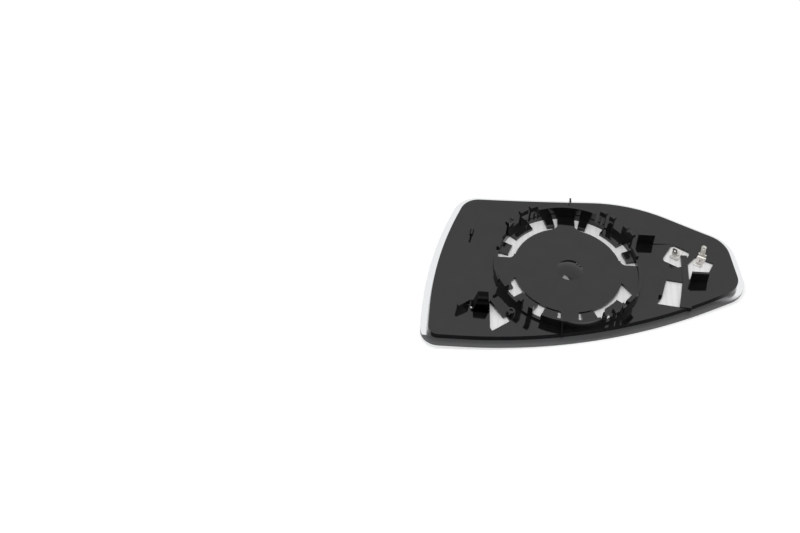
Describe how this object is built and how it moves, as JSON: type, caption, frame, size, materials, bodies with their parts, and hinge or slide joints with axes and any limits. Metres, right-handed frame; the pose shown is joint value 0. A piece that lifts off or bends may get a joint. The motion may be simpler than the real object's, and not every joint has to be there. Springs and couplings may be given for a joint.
{
  "type": "door mirror glass",
  "caption": "Heated convex door mirror glass for the left side: glass, heater foil and a black moulded backing plate with a clip ring.",
  "frame": {"origin": "under the middle of the glass outline, level with the lowest point of the mirror face", "axes": "+Z along the clip ring's axis, away from the mirror face; +X to the narrow outer tip; +Y to the top edge"},
  "size_m": [0.1852, 0.1166, 0.017],
  "materials": {
    "mirror": "silvered convex glass",
    "foil": "white film",
    "plate": "black, lightly glossy",
    "terminal": "tinned sheet",
    "rivet": "plain"
  },
  "bodies": {
    "root": {"mirror_glass": "mirror", "heater_foil": "foil", "backing_plate": "plate", "terminal_left": "terminal", "terminal_right": "terminal", "rivet_left": "rivet", "rivet_right": "rivet"}
  },
  "joints": []
}
